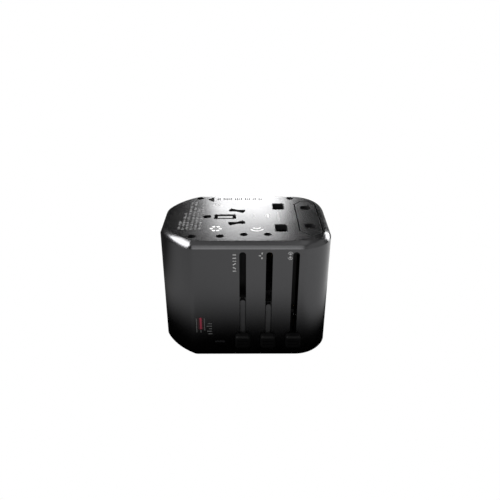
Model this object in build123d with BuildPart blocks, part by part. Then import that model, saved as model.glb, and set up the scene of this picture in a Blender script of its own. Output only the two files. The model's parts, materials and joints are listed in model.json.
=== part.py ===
"""Universal travel adapter: a pocket block with three sets of sliding plug pins and a universal socket.

Frame: +Z is the direction the plug pins leave the body, +X points to the European pin end, -Y is the
side that carries the slider knobs. The origin is the centre of the socket face the adapter rests on.
Every piece is modelled with all pins retracted. Millimetres.
"""
import os

from build123d import *

os.makedirs("parts", exist_ok=True)

HALF_ROOT = 0.5 ** 0.5      # sine and cosine of 45 degrees
CUT_PAST = 1.0              # cuts run this far past the faces they open
FIT_GAP = 0.05              # radial clearance of pegs, pivots and pins in their holes

# ---------------------------------------------------------------- body
HEIGHT = 52.0               # socket face to plug face
HALF_LENGTH = 33.4          # X
HALF_WIDTH = 25.0           # Y
WALL = 2.0
BEVEL = 2.4                 # 45 degree bevel round both end faces
BEVEL_CROWN = 0.28          # rise of the slightly rounded bevel above a flat one
RIGHT_CORNER_R = 13.0
LEFT_CORNER_R = 28.0        # the wide left corners are arcs that meet the flats at a soft kink
LEFT_FLAT = 10.5            # half length of the flat part of the left side
FRONT_FLAT_LEFT = -20.5     # the flat front starts here
KINK_BLEND_R = 4.0
SEAM_LOW = BEVEL            # joint between the socket base and the housing
SEAM_HIGH = HEIGHT - BEVEL  # joint between the housing and the plug face
SPIGOT_DEPTH = 3.0          # locating lip of each end piece inside the housing
SPIGOT_WALL = 1.2
SPIGOT_GAP = 0.05
INNER_FRONT = HALF_WIDTH - WALL

# ---------------------------------------------------------------- sliders
SLOT_WIDTH = 2.55
SLOT_LOW = 6.2
SLOT_HIGH = 48.4
US_SLOT_X = -1.0
UK_SLOT_X = 9.0
EU_SLOT_X = 19.0
US_TRAVEL = 20.9
UK_TRAVEL = 22.9
EU_TRAVEL = 35.3
EU_BLOCK_TRAVEL = 15.3
US_RIB_TOP = SLOT_HIGH - US_TRAVEL
UK_RIB_TOP = SLOT_HIGH - UK_TRAVEL
KNOB_WIDTH = 6.0
KNOB_LOW = 6.2
KNOB_HIGH = 12.1
KNOB_PROUD = 2.6
KNOB_GAP = 0.15             # air between a knob and the housing face
KNOB_ROUND = 1.3            # corners of the knob seen from the front
KNOB_EDGE_R = 1.0
GROOVE_HALF_LENGTH = 2.2
GROOVE_WIDTH = 0.5
GROOVE_DEPTH = 0.35
GROOVE_SPACING = 1.5
RIB_INSET = 0.4             # the slot ribs stand this far back from the housing face
RIB_END_GAP = 0.15          # left above a rib when its slider is fully up
RIB_LOW = KNOB_HIGH - 0.3
STEM_WIDTH = 1.9
STEM_LOW = 6.6
STEM_HIGH = 9.7             # stem of the European knob, which has no rib above it
STEM_UNDER_RIB_HIGH = KNOB_HIGH - 0.4
STEM_ROOT = 0.2             # length of stem sunk in the knob
TENON_R = 1.0
TENON_DEPTH = 1.2
TENON_Z = (STEM_LOW + STEM_HIGH) / 2
TENON_HOLE_DEPTH = 1.5
WEB_BACK = 20.6             # slider webs lie between this depth and the front wall
WEB_FACE = INNER_FRONT - 0.35
WEB_HALF_WIDTH = 3.2
WEB_SIDE_GAP = 0.5

# ---------------------------------------------------------------- plug pins
US_X, US_Y = -3.45, 6.35            # blade pivots, 12.7 apart
US_BLADE_WIDTH = 6.3
US_BLADE_THICK = 1.5
US_BLADE_OUT = 18.0
US_BLADE_CORNER_R = 1.4
US_BLADE_TIP_CHAMFER = 0.45
US_TWIST = 30.0                     # Australian blades lean 30 degrees each way
UK_X, UK_Y = 14.0, 11.11            # line and neutral pins, 22.23 apart
UK_PIN_X, UK_PIN_Y = 4.0, 6.35
UK_PIN_OUT = 17.7
UK_TIP_CHAMFER = 0.9
UK_EARTH_X = UK_X - 22.23
UK_EARTH_LONG, UK_EARTH_SHORT = 8.0, 4.0
UK_EARTH_OUT = 22.7
UK_EARTH_TIP_CHAMFER = 1.0
UK_SLEEVE_LENGTH = 9.5
EU_X, EU_Y = 25.5, 9.5              # 19 apart
EU_PIN_R = 2.0
EU_PIN_OUT = 19.0
EU_TIP_R = 1.2
EU_SLEEVE_LENGTH = 10.0
SLEEVE_SKIN = 0.35                  # the insulating sleeve is let into the metal pin
UK_CORE_X, UK_CORE_Y = UK_PIN_X - 2 * SLEEVE_SKIN, UK_PIN_Y - 2 * SLEEVE_SKIN
EU_CORE_R = EU_PIN_R - SLEEVE_SKIN
EU_TAIL = 6.0                       # length of pin held in the carriage
TAIL_STEP = 0.6                     # the earth pin's tail is this much thinner on each side

# ---------------------------------------------------------------- carriages
US_FRAME_LOW, US_FRAME_HIGH = 22.5, 28.3
US_YOKE_LEFT = -16.4
US_YOKE_BAR = 3.0
US_YOKE_Y = (6.9, 10.35)            # near and far side of each yoke arm
US_HUB_R = 3.35
US_BARREL_R = 4.0
US_HUB_LOW = 23.1
US_BLADE_SEAT = US_HUB_LOW + 1.0    # foot of the blades, inside their hubs
US_LINK_X = (2.4, 4.4)              # link that passes beside the slot screen
US_LINK_BACK = 6.6
US_CROSS_DEPTH = 3.1
UK_FRAME_LOW, UK_FRAME_HIGH = 20.8, 26.3
UK_BEAM_HALF_X = 3.1
UK_BEAM_Y = 15.4
UK_LINK_X = (UK_SLOT_X - 1.4, UK_SLOT_X + 2.2)
UK_LINK_BACK = 8.0
UK_CROSS_BACK = 7.5
UK_ARM_HALF_Y = 1.9
UK_EARTH_PAD_X, UK_EARTH_PAD_Y = 4.3, 2.1
UK_TAIL_LOW = UK_FRAME_LOW + 1.0    # foot of the pin tails, inside the carriage
EU_COLUMN_LOW, EU_COLUMN_HIGH = 6.0, 29.4
EU_COLUMN_X, EU_COLUMN_Y = 3.05, 12.9
EU_COLUMN_WALL = 1.2
EU_COLUMN_ROOF = EU_TAIL + 1.0
EU_LINK_X = (EU_SLOT_X + 1.45, EU_X - 0.9)
EU_LINK_FRONT = 21.5
US_TIP_Z = HEIGHT + US_BLADE_OUT - US_TRAVEL
UK_TIP_Z = HEIGHT + UK_PIN_OUT - UK_TRAVEL
UK_EARTH_TIP_Z = HEIGHT + UK_EARTH_OUT - UK_TRAVEL
EU_TIP_Z = HEIGHT + EU_BLOCK_TRAVEL + EU_PIN_OUT - EU_TRAVEL
UK_SLEEVE_LOW = UK_FRAME_HIGH
UK_SLEEVE_HIGH = HEIGHT - UK_TRAVEL + UK_SLEEVE_LENGTH
EU_SLEEVE_HIGH = EU_TIP_Z - EU_PIN_OUT + EU_SLEEVE_LENGTH

# ---------------------------------------------------------------- European plug block
BLOCK_HALF_WIDTH = 4.35
BLOCK_HALF_LENGTH = 17.1
BLOCK_WALL = 1.1
BLOCK_FACE = 2.5
BLOCK_LOW = 30.0
BLOCK_GAP = 0.35
BLOCK_HOLE_R = 2.35
BLOCK_CHAMFER_X, BLOCK_CHAMFER_Y = 3.0, 3.4
BLOCK_ROUND = 4.2
BLOCK_SOFT_R = 0.8          # blend of the four corners made by the chamfers
COLLAR_WALL = 0.6
COLLAR_LOW = 45.5

# ---------------------------------------------------------------- plug face
FACE_HOLE_GAP = 0.2
FACE_HOLE_R = 0.3           # corners of the rectangular pin openings
BOW_TIE_STEPS = 3
EDGE_BREAK = 0.25
BLOCK_EDGE_BREAK = 0.15
SCREW_XY = [(-19.8, 20.5), (19.7, 20.6), (-20.2, -18.9), (-9.6, -18.7)]
DIMPLE_XY = [(-0.6, -17.2), (8.5, -17.1)]
CENTRE_DIMPLE_XY = (-15.6, 0.0)
WELL_R = 1.5
CENTRE_DIMPLE_R = 1.75
DIMPLE_DEPTH = 1.9
SCREW_HEAD_Z = 49.0         # top of the recessed screw heads
SCREW_HEAD_R = 1.4
SCREW_HEAD_HIGH = 1.4
SCREW_SHANK_R = 0.75
SCREW_HOLE_GAP = 0.1
SCREW_LENGTH = 9.0
HEX_R = 0.75
HEX_DEPTH = 0.8
BOSS_R = 2.0
BOSS_LOW = 45.0             # underside of the plug face's screw bosses

# ---------------------------------------------------------------- socket
SOCKET_X = 10.5             # line of the live and neutral openings
SOCKET_EARTH_X = SOCKET_X - 22.23
SOCKET_US_EARTH_X = SOCKET_X - 11.9
BASE_THICK = 2.4
THICK_PIN_X, THICK_PIN_Y = 4.6, 6.9     # opening for British line and neutral pins
ROUND_PIN_R = 2.7                       # opening for European pins
FLAT_PIN_X, FLAT_PIN_Y = 7.2, 2.0       # opening for American and Australian blades
EARTH_PIN_X, EARTH_PIN_Y, EARTH_PIN_R = 8.7, 4.7, 0.4
US_EARTH_R = 3.0
SHUTTER_LOW = 2.7
SHUTTER_THICK = 1.8
SHUTTER_HIGH = SHUTTER_LOW + SHUTTER_THICK
SHUTTER_HALF_X = 4.2
SHUTTER_HALF_Y = 15.4
SHUTTER_RIGHT = SOCKET_X + SHUTTER_HALF_X
SHUTTER_RAMP = 1.2
GUIDE_X = (1.0, 24.5)       # ends of the ribs that guide the shutter
GUIDE_WALL = 0.9
GUIDE_LIP = 1.0
GUIDE_SIDE_GAP = 0.2
GUIDE_LIP_GAP = 0.15
SPRING_STOP_X = HALF_LENGTH - WALL - SPIGOT_GAP - SPIGOT_WALL
SPRING_Z = 4.1
SPRING_R = 1.0
SPRING_WIRE_R = 0.2
SPRING_COILS = 9
BASE_SCREW_XY = [(-14.0, 18.0), (-14.0, -17.9), (17.6, 18.0), (17.6, -17.9)]
BASE_BOSS_R = 2.0
BASE_BOSS_HIGH = 5.3
BASE_WELL_DEPTH = 1.6

# ---------------------------------------------------------------- contacts, busbars and inner frame
CONTACT_LOW = 6.4
CONTACT_HIGH = 18.1
CONTACT_SHEET = 0.8
CONTACT_END_Y = 14.9
CHANNEL_X = 2.5             # half width of the channel for thick pins
CHANNEL_Y = 8.2
FORK_Y = (4.6, 7.4)         # the two leaves of the fork for flat blades
FORK_HALF_X = 3.8
EARTH_CLIP_LEFT = SOCKET_EARTH_X - 4.5
EARTH_CLIP_RIGHT = SOCKET_US_EARTH_X + 2.9
EARTH_CLIP_Y = 3.2
EARTH_CLIP_SHEET = 0.6
HOLDER_LOW = CONTACT_LOW - 0.6
HOLDER_HALF_X, HOLDER_Y = 5.1, 15.5
HOLDER_ARM_Y = 4.1
HOLDER_POCKET_X = 3.9
HOLDER_POCKET_Y = (4.5, 15.0)
HOLDER_EARTH_GAP = 0.1
DECK_LOW, DECK_HIGH = 18.7, 20.2
DECK_FRONT = -19.9
DECK_BACK = 22.4
DECK_LEFT = -16.9
DECK_RIGHT = 19.5
EAR_WIDTH = 3.6
EAR_SHIFT = -0.3
SCREEN_Y = (15.8, 16.8)     # insulating screens between the slots and the live parts
SCREEN_TOP = 46.0
US_SCREEN_X = (-4.6, 1.9)
EU_SCREEN_X = (16.6, 20.0)
BAR_LOW, BAR_HIGH = 18.1, 18.7      # flat run of the live and neutral busbars
BAR_Y = (12.6, 14.6)
RAIL_TOP = 44.0
RAIL_SHEET = 0.6
RAIL_SLOT_GAP = 0.15
US_RAIL_X = (-8.6, -5.4)
US_RAIL_Y = 11.2
UK_RAIL_X = (11.6, 15.0)
UK_RAIL_Y = 17.0
EU_RAIL_X = (19.6, 20.2)
EU_RAIL_Y = (10.5, 13.5)

# Wipers, each an L of two strips: x, distance from the XZ plane, z.
US_WIPER = [((-8.4, -5.6), (10.35, 10.65), (23.2, 27.6)), ((-8.4, -5.6), (10.65, 11.05), (26.4, 27.6))]
UK_WIPER = [((11.8, 14.8), (15.4, 15.7), (21.4, 25.6)), ((11.8, 14.8), (15.7, 16.85), (25.1, 25.6))]
EU_WIPER_FOOT_X = (20.35, EU_X - EU_COLUMN_X)
EU_WIPER = [(EU_WIPER_FOOT_X, (10.8, 12.8), (6.6, 7.0)), ((20.35, 20.75), (10.8, 12.8), (7.0, 9.2))]

# ---------------------------------------------------------------- indicator
LENS_X, LENS_Z = -10.25, 8.0
LENS_HALF = 2.1
LENS_HIGH = 0.9
LENS_INSIDE = 0.6           # length of lens behind the front wall

# ---------------------------------------------------------------- charging section (left end)
BOARD_X = -18.6
BOARD_THICK = 1.6
BOARD_HALF_Y = 15.2
BOARD_Z = (5.8, 46.0)
PORT_MOUTH_X = -HALF_LENGTH + 0.1
PORT_A_Z = [16.0, 27.0]
PORT_C_Z = 37.5
PORT_A_WIDE, PORT_A_HIGH = 13.1, 5.6
PORT_C_WIDE, PORT_C_HIGH = 8.9, 3.2
PORT_WINDOW_R = 0.3
PORT_SHEET = 0.35
PORT_GAP = 0.15
TONGUE_INSET = 0.8
TONGUE_A_HALF_Y = 5.5
TONGUE_A_LOW, TONGUE_A_HIGH = 0.3, 2.1
TONGUE_C_HALF_Y = 3.3
TONGUE_C_HALF_Z = 0.35
CORE_Y = (-15.0, -7.4)      # transformer core
CORE_DEEP = 8.6
CORE_Z = (9.0, 12.4, 18.6, 22.0)
WINDING_INSET = 0.6
WINDING_DEEP = 7.4
CAPACITOR_YZ = [(-11.4, 30.5), (-11.4, 40.0), (11.4, 38.0)]
CAPACITOR_R = 3.9
CAPACITOR_LENGTH = 9.4
CAPACITOR_EDGE_R = 0.6
# Chips: depth from the board, y, z.
CHIPS = [(1.4, (7.6, 12.6), (27.6, 31.6)), (1.2, (-3.0, 3.0), (20.6, 22.6))]

# ---------------------------------------------------------------- fuse
FUSE_XY = (-23.2, 12.6)
FUSE_R = 2.5
FUSE_WAIST = 0.15           # the ceramic body is this much slimmer than its end caps
FUSE_LENGTH = 20.0
FUSE_LOW = 3.6
FUSE_END_LENGTH = 5.0
FUSE_CAP_R = 3.9
FUSE_CAP_INSET = 0.15
FUSE_FLANGE_R = 4.5
FUSE_FLANGE_THICK = 1.2
FUSE_TUBE_R = 3.7
FUSE_TUBE_HIGH = FUSE_LOW + FUSE_LENGTH + 1.5
FUSE_TUBE_ROOF = 1.0
FUSE_BORE_R = 2.9
PLUG_ROOT = 0.5             # the cap's plug starts inside its head
PLUG_TIP_GAP = 0.1
COIN_SLOT_HALF = (2.9, 0.6)
COIN_SLOT_DEPTH = 1.1


def finish(piece, name):
    """Label a finished piece and write its STEP file."""
    piece.part.label = name
    export_step(piece.part, f"parts/{name}.step")


def block(x_low, x_high, y_low, y_high, z_low, z_high, mode=Mode.ADD):
    """A box given by its limits, added to or cut from the piece being built."""
    centre = ((x_low + x_high) / 2, (y_low + y_high) / 2, (z_low + z_high) / 2)
    with Locations(centre):
        Box(x_high - x_low, y_high - y_low, z_high - z_low, mode=mode)


def sided_block(side, x_ends, y_ends, z_ends, mode=Mode.ADD):
    """A box between two distances from the XZ plane, on the +Y side (1) or the -Y side (-1)."""
    y_low, y_high = sorted((side * y_ends[0], side * y_ends[1]))
    block(x_ends[0], x_ends[1], y_low, y_high, z_ends[0], z_ends[1], mode)


def centred_block(centre, size_x, size_y, z_low, z_high, mode=Mode.ADD):
    """A box of the given plan size round a point."""
    block(centre[0] - size_x / 2, centre[0] + size_x / 2, centre[1] - size_y / 2, centre[1] + size_y / 2,
          z_low, z_high, mode)


def posts(places, radius, z_low, z_high, mode=Mode.ADD):
    """Round posts, or holes, at the given places."""
    with BuildSketch(Plane.XY.offset(z_low)) as plan:
        with Locations(*places):
            Circle(radius)
    extrude(plan.sketch, amount=z_high - z_low, mode=mode)


# ---------------------------------------------------------------- shared outlines
# Plan of the body: long flat front and back, round right corners, wide left corners.
with BuildSketch() as body_plan:
    with BuildLine():
        round_start = HALF_LENGTH - RIGHT_CORNER_R
        flat_right = HALF_WIDTH - RIGHT_CORNER_R
        Line((FRONT_FLAT_LEFT, -HALF_WIDTH), (round_start, -HALF_WIDTH))
        CenterArc((round_start, -flat_right), RIGHT_CORNER_R, -90, 90)
        Line((HALF_LENGTH, -flat_right), (HALF_LENGTH, flat_right))
        CenterArc((round_start, flat_right), RIGHT_CORNER_R, 0, 90)
        Line((round_start, HALF_WIDTH), (FRONT_FLAT_LEFT, HALF_WIDTH))
        RadiusArc((FRONT_FLAT_LEFT, HALF_WIDTH), (-HALF_LENGTH, LEFT_FLAT), -LEFT_CORNER_R)
        Line((-HALF_LENGTH, LEFT_FLAT), (-HALF_LENGTH, -LEFT_FLAT))
        RadiusArc((-HALF_LENGTH, -LEFT_FLAT), (FRONT_FLAT_LEFT, -HALF_WIDTH), -LEFT_CORNER_R)
    make_face()
    fillet(body_plan.vertices().sort_by(Axis.X)[:4], radius=KINK_BLEND_R)

# Plan of the European block: chamfered towards the middle of the adapter, rounded at the outer end.
with BuildSketch() as block_plan:
    with BuildLine():
        left = EU_X - BLOCK_HALF_WIDTH
        right = EU_X + BLOCK_HALF_WIDTH
        Polyline(
            (left, BLOCK_HALF_LENGTH - BLOCK_CHAMFER_Y),
            (left + BLOCK_CHAMFER_X, BLOCK_HALF_LENGTH),
            (right, BLOCK_HALF_LENGTH),
            (right, -BLOCK_HALF_LENGTH),
            (left + BLOCK_CHAMFER_X, -BLOCK_HALF_LENGTH),
            (left, -BLOCK_HALF_LENGTH + BLOCK_CHAMFER_Y),
            close=True,
        )
    make_face()
    fillet(block_plan.vertices().sort_by(Axis.X)[-2:], radius=BLOCK_ROUND)
    fillet(block_plan.vertices().sort_by(Axis.X)[:4], radius=BLOCK_SOFT_R)


def inset_ring(z_low, z_high):
    """Locating lip that fits just inside the housing wall."""
    with BuildSketch(Plane.XY.offset(z_low)) as ring:
        offset(body_plan.sketch, amount=-WALL - SPIGOT_GAP, kind=Kind.INTERSECTION)
        offset(body_plan.sketch, amount=-WALL - SPIGOT_GAP - SPIGOT_WALL, kind=Kind.INTERSECTION,
               mode=Mode.SUBTRACT)
    extrude(ring.sketch, amount=z_high - z_low)


def crowned_bevel(seam_z, up):
    """Cut the bevel round an end plate; up is 1 at the plug face and -1 at the socket face."""
    path = body_plan.sketch.faces()[0].outer_wire().moved(Location((0, 0, seam_z)))
    crown_middle = (-BEVEL / 2 + BEVEL_CROWN * HALF_ROOT, up * (BEVEL / 2 + BEVEL_CROWN * HALF_ROOT))
    with BuildSketch(Plane(origin=path @ 0, x_dir=(0, -1, 0), z_dir=(-1, 0, 0))) as profile:
        with BuildLine():
            ThreePointArc((0, 0), crown_middle, (-BEVEL, up * BEVEL))
            Polyline(
                (-BEVEL, up * BEVEL),
                (-BEVEL, up * (BEVEL + CUT_PAST)),
                (CUT_PAST, up * (BEVEL + CUT_PAST)),
                (CUT_PAST, 0),
                (0, 0),
            )
        make_face()
    sweep(sections=profile.sketch, path=path, mode=Mode.SUBTRACT)


# ---------------------------------------------------------------- housing
with BuildPart() as main_housing:
    with BuildSketch(Plane.XY.offset(SEAM_LOW)):
        add(body_plan.sketch)
        offset(amount=-WALL, kind=Kind.INTERSECTION, mode=Mode.SUBTRACT)
    extrude(amount=SEAM_HIGH - SEAM_LOW)
    # slider slots through the front wall
    with BuildSketch(Plane.XZ.offset(HALF_WIDTH + CUT_PAST)):
        for slot_x in (US_SLOT_X, UK_SLOT_X, EU_SLOT_X):
            with Locations((slot_x, (SLOT_LOW + SLOT_HIGH) / 2)):
                SlotOverall(SLOT_HIGH - SLOT_LOW, SLOT_WIDTH, rotation=90)
    extrude(amount=-WALL - 2 * CUT_PAST, mode=Mode.SUBTRACT)
    # window for the indicator lens
    block(LENS_X - LENS_HALF, LENS_X + LENS_HALF, -HALF_WIDTH - CUT_PAST, -INNER_FRONT + CUT_PAST,
          LENS_Z - LENS_HIGH / 2, LENS_Z + LENS_HIGH / 2, Mode.SUBTRACT)
    # windows for the charging ports in the left wall
    with BuildSketch(Plane.YZ.offset(-HALF_LENGTH - CUT_PAST)):
        for port_z in PORT_A_Z:
            with Locations((0, port_z)):
                RectangleRounded(PORT_A_WIDE + 2 * PORT_GAP, PORT_A_HIGH + 2 * PORT_GAP, PORT_WINDOW_R)
        with Locations((0, PORT_C_Z)):
            SlotOverall(PORT_C_WIDE + 2 * PORT_GAP, PORT_C_HIGH + 2 * PORT_GAP)
    extrude(amount=WALL + 2 * CUT_PAST, mode=Mode.SUBTRACT)
finish(main_housing, "main_housing")


# ---------------------------------------------------------------- plug face plate
def bow_tie(side):
    """Opening swept by a flat blade that turns from straight to its slanted place."""
    for step in range(BOW_TIE_STEPS + 1):
        with Locations((US_X, side * US_Y)):
            Rectangle(US_BLADE_WIDTH + 2 * FACE_HOLE_GAP, US_BLADE_THICK + 2 * FACE_HOLE_GAP,
                      rotation=-side * US_TWIST * step / BOW_TIE_STEPS)


with BuildPart() as plug_face_plate:
    with BuildSketch(Plane.XY.offset(SEAM_HIGH)):
        add(body_plan.sketch)
    extrude(amount=BEVEL)
    crowned_bevel(SEAM_HIGH, 1)
    # locating lip, open where the slider webs rise past it
    inset_ring(SEAM_HIGH - SPIGOT_DEPTH, SEAM_HIGH)
    block(US_SLOT_X - WEB_HALF_WIDTH - WEB_SIDE_GAP, UK_SLOT_X + WEB_HALF_WIDTH + WEB_SIDE_GAP,
          -HALF_WIDTH, -WEB_BACK + WEB_SIDE_GAP, SEAM_HIGH - SPIGOT_DEPTH, SEAM_HIGH, Mode.SUBTRACT)
    # screw bosses
    posts(SCREW_XY, BOSS_R, BOSS_LOW, SEAM_HIGH)
    # guide collar for the European block
    with BuildSketch(Plane.XY.offset(COLLAR_LOW)):
        offset(block_plan.sketch, amount=BLOCK_GAP + COLLAR_WALL, kind=Kind.INTERSECTION)
    extrude(amount=SEAM_HIGH - COLLAR_LOW)
    with BuildSketch(Plane.XY.offset(COLLAR_LOW - CUT_PAST)):
        offset(block_plan.sketch, amount=BLOCK_GAP, kind=Kind.INTERSECTION)
    extrude(amount=HEIGHT - COLLAR_LOW + 2 * CUT_PAST, mode=Mode.SUBTRACT)
    # pin openings
    with BuildSketch(Plane.XY.offset(SEAM_HIGH - CUT_PAST)):
        with Locations((UK_X, UK_Y), (UK_X, -UK_Y)):
            RectangleRounded(UK_PIN_X + 2 * FACE_HOLE_GAP, UK_PIN_Y + 2 * FACE_HOLE_GAP, FACE_HOLE_R)
        with Locations((UK_EARTH_X, 0)):
            RectangleRounded(UK_EARTH_LONG + 2 * FACE_HOLE_GAP, UK_EARTH_SHORT + 2 * FACE_HOLE_GAP,
                             FACE_HOLE_R)
    extrude(amount=BEVEL + 2 * CUT_PAST, mode=Mode.SUBTRACT)
    with BuildSketch(Plane.XY.offset(SEAM_HIGH - CUT_PAST)):
        bow_tie(1)
        bow_tie(-1)
    extrude(amount=BEVEL + 2 * CUT_PAST, mode=Mode.SUBTRACT)
    # screw wells with a clearance hole for each shank, and three blind dimples
    posts(SCREW_XY, WELL_R, SCREW_HEAD_Z - SCREW_HEAD_HIGH, HEIGHT + CUT_PAST, Mode.SUBTRACT)
    posts(SCREW_XY, SCREW_SHANK_R + SCREW_HOLE_GAP, BOSS_LOW - CUT_PAST, SCREW_HEAD_Z, Mode.SUBTRACT)
    posts(DIMPLE_XY, WELL_R, HEIGHT - DIMPLE_DEPTH, HEIGHT + CUT_PAST, Mode.SUBTRACT)
    posts([CENTRE_DIMPLE_XY], CENTRE_DIMPLE_R, HEIGHT - DIMPLE_DEPTH, HEIGHT + CUT_PAST, Mode.SUBTRACT)
    # the rims of the three rectangular pin openings, which have eight edges each, are broken
    face_rims = plug_face_plate.faces().sort_by(Axis.Z)[-1].inner_wires()
    pin_rims = [rim for rim in face_rims if len(rim.edges()) == 8]
    chamfer([edge for rim in pin_rims for edge in rim.edges()], length=EDGE_BREAK)
finish(plug_face_plate, "plug_face_plate")


# ---------------------------------------------------------------- socket base
def mains_opening(side):
    """Combined opening for flat, slanted, round and rectangular pins on one side of the socket."""
    with Locations((SOCKET_X, side * UK_Y)):
        Rectangle(THICK_PIN_X, THICK_PIN_Y)
    with Locations((SOCKET_X, side * EU_Y)):
        Circle(ROUND_PIN_R)
    with Locations((SOCKET_X, side * US_Y)):
        Rectangle(FLAT_PIN_X, FLAT_PIN_Y)
        Rectangle(FLAT_PIN_X, FLAT_PIN_Y, rotation=-side * US_TWIST)


with BuildPart() as socket_base:
    with BuildSketch():
        add(body_plan.sketch)
    extrude(amount=BEVEL)
    crowned_bevel(SEAM_LOW, -1)
    inset_ring(SEAM_LOW, SEAM_LOW + SPIGOT_DEPTH)
    # shutter guides: two ribs with a lip over the shutter's edges
    guide_edge = SHUTTER_HALF_Y + GUIDE_SIDE_GAP
    for side in (-1, 1):
        sided_block(side, GUIDE_X, (guide_edge, guide_edge + GUIDE_WALL), (SEAM_LOW, BASE_BOSS_HIGH))
        sided_block(side, GUIDE_X, (guide_edge - GUIDE_LIP, guide_edge),
                    (SHUTTER_HIGH + GUIDE_LIP_GAP, BASE_BOSS_HIGH))
    posts(BASE_SCREW_XY, BASE_BOSS_R, SEAM_LOW, BASE_BOSS_HIGH)
    # openings of the universal socket
    with BuildSketch(Plane.XY.offset(-CUT_PAST)):
        mains_opening(1)
        mains_opening(-1)
        with Locations((SOCKET_EARTH_X, 0)):
            RectangleRounded(EARTH_PIN_X, EARTH_PIN_Y, EARTH_PIN_R)
        with Locations((SOCKET_US_EARTH_X, 0)):
            Circle(US_EARTH_R)
    extrude(amount=BASE_THICK + 2 * CUT_PAST, mode=Mode.SUBTRACT)
    # screw wells and shank holes
    posts(BASE_SCREW_XY, WELL_R, -CUT_PAST, BASE_WELL_DEPTH, Mode.SUBTRACT)
    posts(BASE_SCREW_XY, SCREW_SHANK_R + SCREW_HOLE_GAP, -CUT_PAST, BASE_BOSS_HIGH + CUT_PAST,
          Mode.SUBTRACT)
    # fuse cap opening
    posts([FUSE_XY], FUSE_CAP_R + FIT_GAP, -CUT_PAST, BASE_THICK + CUT_PAST, Mode.SUBTRACT)
finish(socket_base, "socket_base")

# ---------------------------------------------------------------- inner frame
with BuildPart() as inner_frame:
    block(DECK_LEFT, DECK_RIGHT, DECK_FRONT, DECK_BACK, DECK_LOW, DECK_HIGH)
    posts(SCREW_XY, BOSS_R, DECK_LOW, DECK_HIGH)
    # ears that reach the two left posts
    for post_x, post_y in (SCREW_XY[0], SCREW_XY[2]):
        centred_block(((post_x + DECK_LEFT) / 2, post_y + EAR_SHIFT), DECK_LEFT - post_x, EAR_WIDTH,
                      DECK_LOW, DECK_HIGH)
    # posts under the plug face, and legs down to the socket base
    posts(SCREW_XY, BOSS_R, DECK_HIGH, BOSS_LOW)
    posts(BASE_SCREW_XY, BASE_BOSS_R, BASE_BOSS_HIGH, DECK_LOW)
    # screw holes
    posts(SCREW_XY, SCREW_SHANK_R + FIT_GAP, BOSS_LOW - SCREW_LENGTH, BOSS_LOW + CUT_PAST, Mode.SUBTRACT)
    posts(BASE_SCREW_XY, SCREW_SHANK_R + FIT_GAP, BASE_BOSS_HIGH - CUT_PAST,
          BASE_BOSS_HIGH + SCREW_LENGTH - CUT_PAST, Mode.SUBTRACT)
    # slots where the busbar rails come up through the deck
    for side in (-1, 1):
        for rail_x, rail_y in ((US_RAIL_X, US_RAIL_Y), (UK_RAIL_X, UK_RAIL_Y)):
            sided_block(side, (rail_x[0] - RAIL_SLOT_GAP, rail_x[1] + RAIL_SLOT_GAP),
                        (rail_y - RAIL_SLOT_GAP, rail_y + RAIL_SHEET + RAIL_SLOT_GAP),
                        (DECK_LOW - CUT_PAST, DECK_HIGH + CUT_PAST), Mode.SUBTRACT)
finish(inner_frame, "inner_frame")

# sheets behind the American and European slots
with BuildPart() as slot_screens:
    for screen_x in (US_SCREEN_X, EU_SCREEN_X):
        sided_block(-1, screen_x, SCREEN_Y, (DECK_HIGH, SCREEN_TOP))
finish(slot_screens, "slot_screens")

with BuildPart() as contact_block:
    block(SOCKET_X - HOLDER_HALF_X, SOCKET_X + HOLDER_HALF_X, -HOLDER_Y, HOLDER_Y, HOLDER_LOW, BAR_LOW)
    block(EARTH_CLIP_LEFT - EARTH_CLIP_SHEET, SOCKET_X, -HOLDER_ARM_Y, HOLDER_ARM_Y, HOLDER_LOW, BAR_LOW)
    for side in (-1, 1):
        sided_block(side, (SOCKET_X - HOLDER_POCKET_X, SOCKET_X + HOLDER_POCKET_X), HOLDER_POCKET_Y,
                    (0, HEIGHT), Mode.SUBTRACT)
    block(EARTH_CLIP_LEFT - HOLDER_EARTH_GAP, EARTH_CLIP_RIGHT + HOLDER_EARTH_GAP,
          -EARTH_CLIP_Y - HOLDER_EARTH_GAP, EARTH_CLIP_Y + HOLDER_EARTH_GAP, 0, HEIGHT, Mode.SUBTRACT)
finish(contact_block, "contact_block")


# ---------------------------------------------------------------- socket contacts and busbars
def mains_contact(side, name):
    """Sprung clip for one pole: a channel for thick pins and a fork for flat blades, under one bridge."""
    with BuildPart() as contact:
        for x_side in (-1, 1):
            x_low, x_high = sorted((x_side * CHANNEL_X, x_side * (CHANNEL_X + CONTACT_SHEET)))
            sided_block(side, (SOCKET_X + x_low, SOCKET_X + x_high), (CHANNEL_Y, CONTACT_END_Y),
                        (CONTACT_LOW, CONTACT_HIGH))
        fork_x = (SOCKET_X - FORK_HALF_X, SOCKET_X + FORK_HALF_X)
        for leaf_y in FORK_Y:
            sided_block(side, fork_x, (leaf_y, leaf_y + CONTACT_SHEET), (CONTACT_LOW, CONTACT_HIGH))
        sided_block(side, fork_x, (FORK_Y[0], CONTACT_END_Y), (CONTACT_HIGH - CONTACT_SHEET, CONTACT_HIGH))
    finish(contact, name)


mains_contact(1, "live_contact")
mains_contact(-1, "neutral_contact")

with BuildPart() as earth_contact:
    block(EARTH_CLIP_LEFT, EARTH_CLIP_RIGHT, -EARTH_CLIP_Y, EARTH_CLIP_Y, CONTACT_LOW, CONTACT_HIGH)
    inside_y = EARTH_CLIP_Y - EARTH_CLIP_SHEET
    block(EARTH_CLIP_LEFT - CUT_PAST, EARTH_CLIP_RIGHT + CUT_PAST, -inside_y, inside_y,
          CONTACT_LOW - CUT_PAST, CONTACT_HIGH - CONTACT_SHEET, Mode.SUBTRACT)
finish(earth_contact, "earth_contact")


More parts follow.
